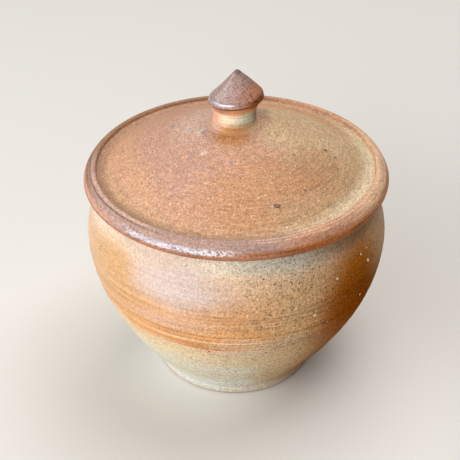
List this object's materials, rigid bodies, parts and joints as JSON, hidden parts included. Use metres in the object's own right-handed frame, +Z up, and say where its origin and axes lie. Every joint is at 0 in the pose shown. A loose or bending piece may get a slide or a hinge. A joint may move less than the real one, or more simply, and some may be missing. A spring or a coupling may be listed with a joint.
{
  "type": "sugar pot",
  "caption": "Bellied stoneware sugar pot on a turned foot, with a loose domed lid that locates by a flange in the mouth and lifts off by a pointed knob.",
  "frame": {"origin": "middle of the foot ring, on the table", "axes": "+Z up along the throwing axis; the picture is taken from the -Y side, with +X to its right"},
  "size_m": [0.105, 0.105, 0.1154],
  "materials": {
    "pot_stoneware": "fired stoneware with a thin satin skin, flashed orange, cream and pink",
    "lid_stoneware": "fired stoneware with a thin satin skin, flashed orange-brown and mauve",
    "knob_stoneware": "fired stoneware, red-brown and mauve with a glossier skin on the cone"
  },
  "bodies": {
    "pot": {"pot_body": "pot_stoneware"},
    "cover": {"lid": "lid_stoneware", "knob": "knob_stoneware"}
  },
  "joints": [
    {"name": "lid_lift", "type": "slide", "parent": "pot", "child": "cover", "axis": [0, 0, 1], "range_m": [0, 0.08]}
  ]
}
